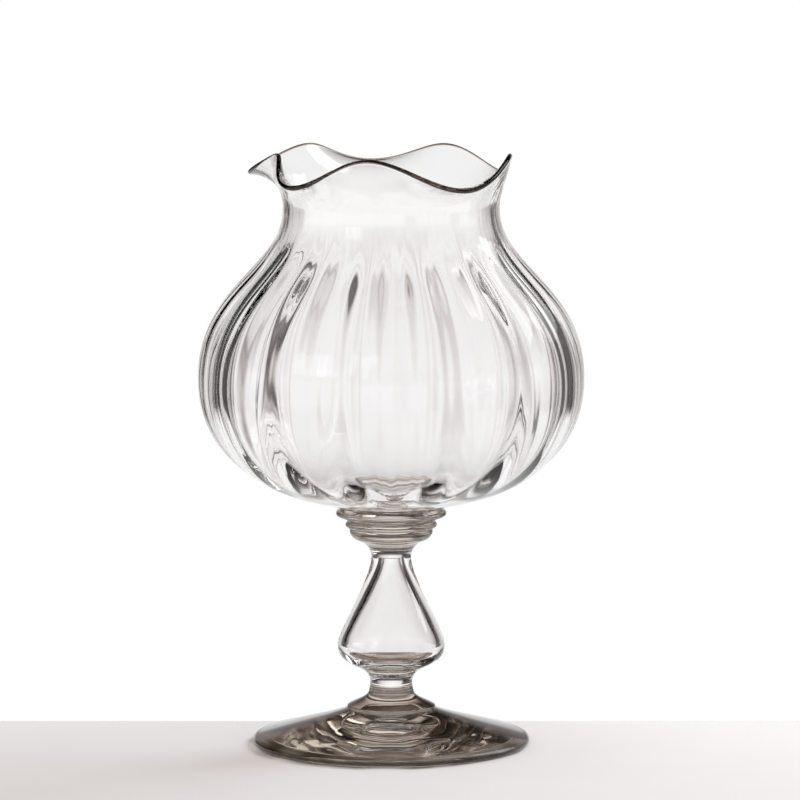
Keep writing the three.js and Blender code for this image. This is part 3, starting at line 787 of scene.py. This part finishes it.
class OBJECT_OT_vase_discs(Operator):
    """Add the three discs under the bowl"""

    bl_idname = "object.vase_discs"
    bl_label = "Add Discs"

    def execute(self, context):
        s = context.scene.vase_stem
        bowl_seam = context.scene.vase_bowl.seam_radius

        low, high = levels("lower_merese")
        round_start = low + LOWER_ROUND_START * (high - low)
        outline = [(s.button_radius, low)]
        first, second = (s.lower_radius, round_start), (s.lower_radius, high)
        bend(outline, first, second, (s.neck_radius, high), CURVE_STEPS)
        seams = [(low, 0, s.button_radius), (high, 0, s.neck_radius)]
        tooled_piece("lower_merese", "disc_glass", outline, seams)

        low, high = levels("middle_merese")
        edge = (high - low) / 2
        centre = (s.middle_radius - edge, low + edge)
        outline = [(s.neck_radius, low)]
        outline += arc(centre, edge)
        outline += [(s.neck_radius, high)]
        seams = [(low, 0, s.neck_radius), (high, 0, s.neck_radius)]
        tooled_piece("middle_merese", "disc_glass", outline, seams)

        low, high = levels("upper_merese")
        edge = s.upper_edge / 2
        centre = (s.upper_radius - edge, low + s.saucer_rise + edge)
        middle = ((s.neck_radius + centre[0]) / 2, low + s.saucer_sag)
        outline = [(s.neck_radius, low)]
        bow(outline, middle, (centre[0], low + s.saucer_rise), CURVE_STEPS)
        outline += arc(centre, edge)[1:]
        line(outline, (s.upper_shoulder, high - s.upper_drop), SHORT_STEPS)
        line(outline, (bowl_seam, high), SHORT_STEPS)
        seams = [(low, 0, s.neck_radius), (high, 0, bowl_seam)]
        tooled_piece("upper_merese", "disc_glass", outline, seams)
        return {"FINISHED"}


class OBJECT_OT_vase_stem(Operator):
    """Draw the hollow baluster and the button that closes it"""

    bl_idname = "object.vase_stem"
    bl_label = "Draw Stem"

    def execute(self, context):
        s = context.scene.vase_stem

        low, high = levels("stem_button")
        tall = high - low
        outline = [(s.hollow_mouth, low), (s.top_radius, low)]
        first = (s.top_radius, low + tall / 2)
        second = ((s.top_radius + s.button_radius) / 2, low + BUTTON_FLARE_START * tall)
        bend(outline, first, second, (s.button_radius, high), CURVE_STEPS)
        seams = [(low, s.hollow_mouth, s.top_radius), (high, 0, s.button_radius)]
        tooled_piece("stem_button", "stem_glass", outline, seams)

        low, high = levels("baluster")
        belly, waist, floor = low + s.belly_height, low + s.waist_height, low + s.hollow_floor
        under, taper = belly - waist, high - belly
        hollow = s.belly_radius - s.wall
        outline = [(s.base_radius, low)]
        bow(outline, (s.waist_radius, (low + waist) / 2), (s.waist_radius, waist), SHORT_STEPS)
        first = (s.waist_radius, waist + WAIST_PULL * under)
        second = (s.belly_radius, belly - BELLY_LOWER_PULL * under)
        bend(outline, first, second, (s.belly_radius, belly), LONG_STEPS)
        first = (s.belly_radius, belly + BELLY_UPPER_PULL * taper)
        second = (s.top_radius + s.top_spread, high - STEM_TOP_PULL * taper)
        bend(outline, first, second, (s.top_radius, high), LONG_STEPS)
        outline += [(s.hollow_mouth, high)]
        first = (s.hollow_mouth, high - HOLLOW_MOUTH_PULL * taper)
        second = (hollow, belly + HOLLOW_BELLY_PULL * taper)
        bend(outline, first, second, (hollow, belly), LONG_STEPS)
        first = (hollow, (belly + floor) / 2)
        second = (HOLLOW_FLOOR_PULL * hollow, floor)
        bend(outline, first, second, (0, floor), CURVE_STEPS)
        seams = [(low, 0, s.base_radius), (high, s.hollow_mouth, s.top_radius)]
        tooled_piece("baluster", "stem_glass", outline, seams)
        return {"FINISHED"}


class OBJECT_OT_vase_foot(Operator):
    """Spread the foot and add its collar"""

    bl_idname = "object.vase_foot"
    bl_label = "Spread Foot"

    def execute(self, context):
        s, f = context.scene.vase_stem, context.scene.vase_foot

        low, high = levels("foot_merese")
        edge = s.collar_edge / 2
        seat = s.collar_radius - edge
        flare = high - low - s.collar_edge
        outline = arc((seat, low + edge), edge, COLLAR_EDGE_END)
        first = ((s.collar_radius + s.base_radius) / 2, low + s.collar_edge + flare / 3)
        second = (s.base_radius, low + s.collar_edge + flare / 2)
        bend(outline, first, second, (s.base_radius, high), LONG_STEPS)
        seams = [(low, 0, seat), (high, 0, s.base_radius)]
        tooled_piece("foot_merese", "disc_glass", outline, seams)

        top = levels("foot")[1]
        rim = f.rim / 2
        ring_outer = f.radius - rim
        ring_inner = ring_outer - f.ring_width
        roof = f.hollow + f.pontil_depth
        outline = [(0, roof)]
        bow(outline, (f.pontil_radius / 2, roof), (f.pontil_radius, f.hollow), CURVE_STEPS)
        bow(outline, ((f.pontil_radius + ring_inner) / 2, f.hollow), (ring_inner, 0), LONG_STEPS)
        outline += [(ring_outer, 0)]
        outline += arc((ring_outer, rim), rim)[1:]
        first = (ring_outer - f.brim_run, f.rim + f.brim_rise)
        second = (s.collar_radius + f.shoulder_run, top - f.shoulder_drop)
        bend(outline, first, second, (s.collar_radius, top), LONG_STEPS)
        outline += [(seat, top)]

        def dented_under(point):
            """Dents on the hollow underside, deepest in the middle; the ring is ground flat."""
            under = point[1] <= roof and point[0] < ring_inner
            return math.sqrt(1 - point[0] / ring_inner) if under else 0

        tooled_piece("foot", "foot_glass", outline, [(top, 0, seat)], dented_under)
        return {"FINISHED"}


# The studio as the glass sees it: light level by direction, in degrees from straight behind the vase towards
# the right, and by rise above the level. A lit screen stands behind the vase, between a black card on its
# left and one further off on its right; white walls stand all round, with two narrow dark doors on the right.
LEFT_WALL_AND_CARD = ((-180, 0.95), (-80, 0.95), (-72, 0.06), (-44, 0.02), (-30, 0.03), (-25, 0.12))
SCREEN = ((-20, 0.8), (-15, 0.88), (-5, 1), (3, 0.98), (12, 0.86), (18, 0.75), (27, 0.4))
RIGHT_CARD_AND_WALL = ((33, 0.08), (48, 0.05), (60, 0.2), (72, 0.9), (100, 0.95))
DOORS = ((103, 0.2), (113, 0.2), (116, 0.95), (152, 0.95), (155, 0.2), (163, 0.2), (166, 0.95), (180, 0.95))
ROOM_ROUND = (*LEFT_WALL_AND_CARD, *SCREEN, *RIGHT_CARD_AND_WALL, *DOORS)
ROOM_UP = ((-90, 1), (5, 1), (9, 0.5), (15, 0.35), (20, 0.05), (90, 0.04))

# The floor under the screen and the cards is white.
CARD_END = math.radians(-17), math.radians(-13)

# Lights above the screen, in degrees: turn, rise, half width, half height; then their level.
SOFTBOX = 56, 36, 15, 17, 2.2
WINDOW = -139, 21, 8, 10, 1.2
PANEL_EDGE = math.radians(1.5)  # softness of their edges

# How often light may bounce: enough for many walls of glass in a row.
BOUNCES = {"max": 64, "transmission": 64, "glossy": 24, "transparent_max": 32}
SENSOR_WIDTH = 36  # millimetres
CAMERA_REACH = 20  # metres


def set_stops(ramp, stops, reach):
    """Sets a colour ramp's stops, given as degrees within reach to either side, and level."""
    elements = ramp.color_ramp.elements
    while len(elements) < len(stops):
        elements.new(1.0)
    for element, (angle, level) in zip(elements, stops):
        element.position = (angle + reach) / (2 * reach)
        element.color = (level, level, level, 1)


class OBJECT_OT_vase_stage(Operator):
    """Set up the table, the background, the light and the camera"""

    bl_idname = "object.vase_stage"
    bl_label = "Set Stage"

    def execute(self, context):
        scene = context.scene
        s = scene.vase_stage
        self.add_table(scene, s)
        self.add_world(scene, s)
        self.add_lamp(scene, s)
        self.add_camera(scene, s)
        scene.view_settings.view_transform = "Standard"
        for kind, limit in BOUNCES.items():
            setattr(scene.cycles, kind + "_bounces", limit)
        scene.cycles.caustics_refractive = False
        scene.cycles.caustics_reflective = False
        return {"FINISHED"}

    def add_table(self, scene, s):
        half = s.table_size
        mesh = bpy.data.meshes.new("table")
        corners = [(-half, -half, 0), (half, -half, 0), (half, s.table_end, 0), (-half, s.table_end, 0)]
        mesh.from_pydata(corners, [], [(0, 1, 2, 3)])
        mesh.materials.append(board_material(s.table, s.table_worn, s.mottle))
        table = bpy.data.objects.new("table", mesh)
        scene.collection.objects.link(table)

    def add_world(self, scene, s):
        """White to the camera, the studio to the glass and an even light to the rest."""
        world = bpy.data.worlds.new("studio")
        world.use_nodes = True
        scene.world = world
        world.node_tree.nodes.clear()
        add = partial(place, world.node_tree)
        axes = add("ShaderNodeSeparateXYZ", add("ShaderNodeTexCoord").outputs["Generated"]).outputs
        azimuth = add(MATH, axes["X"], axes["Y"], op="ARCTAN2")
        rise = add(MATH, axes["Z"], op="ARCSINE")

        soft = {"interpolation_type": "SMOOTHSTEP"}
        screens = add("ShaderNodeValToRGB", add(MAP, azimuth, -math.pi, math.pi))
        set_stops(screens, ROOM_ROUND, 180)
        heights = add("ShaderNodeValToRGB", add(MAP, rise, -QUARTER_TURN, QUARTER_TURN))
        set_stops(heights, ROOM_UP, 90)
        on_card = add(MAP, rise, *CARD_END, **soft)
        level = add(MIX, Factor=on_card, A=1.0, B=screens)
        light = add(MATH, level, heights, op="MULTIPLY")

        for *angles, level in (SOFTBOX, WINDOW):
            turn_to, rise_to, wide, tall = map(math.radians, angles)
            aside = add(MATH, azimuth, turn_to, op="SUBTRACT")
            aside = add(MATH, aside, math.pi, -math.pi, op="WRAP")
            above = add(MATH, rise, rise_to, op="SUBTRACT")
            aside, above = (add(MATH, angle, op="ABSOLUTE") for angle in (aside, above))
            across = add(MAP, aside, wide - PANEL_EDGE, wide + PANEL_EDGE, level, 0.0, **soft)
            down = add(MAP, above, tall - PANEL_EDGE, tall + PANEL_EDGE, 1.0, 0.0, **soft)
            light = add(MATH, across, down, light, op="MULTIPLY_ADD")

        path = add("ShaderNodeLightPath").outputs
        shown = add(MIX, Factor=path["Is Camera Ray"], A=light, B=1.0)
        seen = add(MATH, path["Is Camera Ray"], path["Is Glossy Ray"], op="ADD")
        seen = add(MATH, seen, path["Is Transmission Ray"], op="ADD", use_clamp=True)
        strength = add(MIX, Factor=seen, A=s.ambient, B=shown)

        # What the glass sees of the darker places is warm.
        dark = add(MATH, 1.0, shown, op="SUBTRACT", use_clamp=True)
        dark = add(MATH, dark, seen, op="MULTIPLY")
        tone = add(MIX, dark, *SKIPPED, WHITE, s.room_tone, data_type="RGBA")
        add("ShaderNodeOutputWorld", add("ShaderNodeBackground", tone, strength))

    def add_aimed(self, scene, data, stand, aim):
        thing = bpy.data.objects.new(data.name, data)
        thing.location = stand
        thing.rotation_euler = (Vector(aim) - Vector(stand)).to_track_quat("-Z", "Y").to_euler()
        scene.collection.objects.link(thing)
        return thing

    def add_lamp(self, scene, s):
        data = bpy.data.lights.new("softbox", "AREA")
        data.size = s.lamp_size
        data.energy = s.lamp_power
        lamp = self.add_aimed(scene, data, s.lamp_place, (0, 0, 0))
        for ray in ("camera", "glossy", "transmission"):
            setattr(lamp, "visible_" + ray, False)

    def add_camera(self, scene, s):
        data = bpy.data.cameras.new("camera")
        data.sensor_width = SENSOR_WIDTH
        data.lens = s.lens
        data.clip_end = CAMERA_REACH
        scene.camera = self.add_aimed(scene, data, s.camera_place, s.camera_aim)


OPERATORS = (
    OBJECT_OT_vase_glass,
    OBJECT_OT_vase_bowl,
    OBJECT_OT_vase_discs,
    OBJECT_OT_vase_stem,
    OBJECT_OT_vase_foot,
    OBJECT_OT_vase_stage,
)


class VIEW3D_PT_globe_vase(Panel):
    """Lists the vase's sizes and the steps that make it"""

    bl_label = "Globe Vase"
    bl_idname = "VIEW3D_PT_globe_vase"
    bl_space_type = "VIEW_3D"
    bl_region_type = "UI"
    bl_category = "Globe Vase"

    def draw(self, context):
        for operator in OPERATORS:
            self.layout.operator(operator.bl_idname)
        for name, group in GROUPS.items():
            box = self.layout.box()
            box.label(text=group.__name__)
            for key in group.__annotations__:
                box.prop(getattr(context.scene, name), key)


def register():
    for cls in (*GROUPS.values(), *OPERATORS, VIEW3D_PT_globe_vase):
        bpy.utils.register_class(cls)
    for name, group in GROUPS.items():
        setattr(bpy.types.Scene, name, bpy.props.PointerProperty(type=group))


def unregister():
    for name in GROUPS:
        delattr(bpy.types.Scene, name)
    for cls in (VIEW3D_PT_globe_vase, *reversed(OPERATORS), *reversed(GROUPS.values())):
        bpy.utils.unregister_class(cls)


def main():
    register()
    bpy.ops.object.vase_glass()
    bpy.ops.object.vase_bowl()
    bpy.ops.object.vase_discs()
    bpy.ops.object.vase_stem()
    bpy.ops.object.vase_foot()
    bpy.ops.object.vase_stage()


if __name__ == "__main__":
    main()
